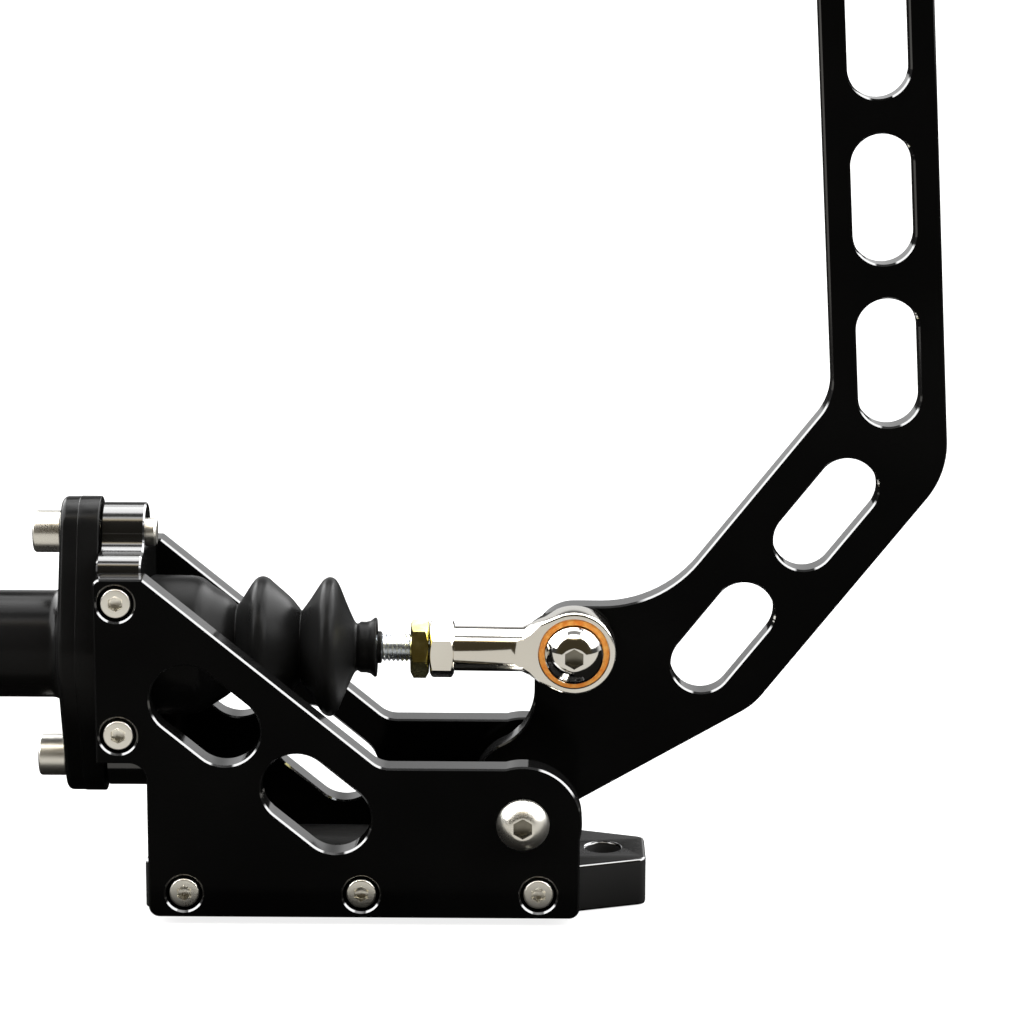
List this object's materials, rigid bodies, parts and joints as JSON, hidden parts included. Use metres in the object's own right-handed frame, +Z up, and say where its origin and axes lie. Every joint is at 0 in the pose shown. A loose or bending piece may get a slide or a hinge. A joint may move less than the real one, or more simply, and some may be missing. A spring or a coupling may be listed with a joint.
{
  "type": "parking brake lever",
  "caption": "Floor-mounted hydraulic parking brake lever: slotted lever on side plates, rod end, rubber boot and flange-mounted master cylinder.",
  "frame": {"origin": "on the base bar's underside, straight below the lever's pivot axis, midway between the side plates", "axes": "+Z up, +X from the master cylinder towards the lever, +Y across the side plates away from the rod end's open side"},
  "size_m": [0.315, 0.0749, 0.397],
  "materials": {
    "black_anodised": "gloss black anodised, bright chamfers",
    "black_cast": "satin black",
    "boot_rubber": "matt moulded rubber",
    "seal_rubber": "smooth",
    "black_plastic": "moulded nylon",
    "nickel_plate": "polished nickel plate",
    "zinc_steel": "bright zinc plated thread",
    "yellow_zinc": "yellow zinc plate",
    "bronze": "sintered bronze",
    "spring_steel": "drawn wire",
    "piston_alloy": "turned",
    "stainless": "bead-blasted stainless"
  },
  "bodies": {
    "base": {"side_plate_near": "black_anodised", "side_plate_far": "black_anodised", "side_screw_near_1": "stainless", "side_screw_near_2": "stainless", "side_screw_near_3": "stainless", "side_screw_near_4": "stainless", "side_screw_near_5": "stainless", "side_screw_far_1": "stainless", "side_screw_far_2": "stainless", "side_screw_far_3": "stainless", "side_screw_far_4": "stainless", "side_screw_far_5": "stainless", "base_bar": "black_anodised", "front_block": "black_anodised", "master_cylinder_body": "black_cast", "flange_screw_1": "stainless", "flange_screw_2": "stainless", "inlet_seal": "seal_rubber", "inlet_barb": "black_plastic", "piston_stop_washer": "zinc_steel", "retaining_ring": "spring_steel", "boot": "boot_rubber", "pivot_spacer_near": "stainless", "pivot_spacer_far": "stainless", "pivot_washer": "stainless", "pivot_nut": "stainless", "pivot_bolt": "stainless"},
    "piston": {"piston": "piston_alloy", "secondary_seal": "seal_rubber", "primary_cup": "seal_rubber", "return_spring": "spring_steel"},
    "rod": {"push_rod": "zinc_steel", "jam_nut": "yellow_zinc", "rod_end_housing": "nickel_plate", "rod_end_liner": "bronze"},
    "lever": {"lever_plate": "black_anodised", "pivot_bush": "bronze", "rod_end_ball": "nickel_plate", "eye_bolt": "nickel_plate", "eye_nut": "stainless", "grip": "black_anodised", "grip_screw_1": "stainless", "grip_screw_2": "stainless"}
  },
  "joints": [
    {"name": "lever_pull", "type": "hinge", "parent": "base", "child": "lever", "pos_m": [0, 0, 0.03], "axis": [0, -1, 0], "range_deg": [0, 26], "stiffness_Nm_per_rad": 4, "springref_deg": -12.61, "deforming": ["boot"]},
    {"name": "rod_swivel", "type": "hinge", "parent": "lever", "child": "rod", "pos_m": [0.0143, 0, 0.073], "axis": [0, -1, 0], "range_deg": [-28, 2]},
    {"name": "piston_slide", "type": "slide", "parent": "base", "child": "piston", "axis": [-1, 0, 0], "range_m": [0, 0.0206], "deforming": ["return_spring"]}
  ],
  "couplings": [
    {"joint": "rod_swivel", "follows": "lever_pull", "ratio": -0.952},
    {"joint": "piston_slide", "follows": "lever_pull", "m_per_rad": 0.04452}
  ]
}
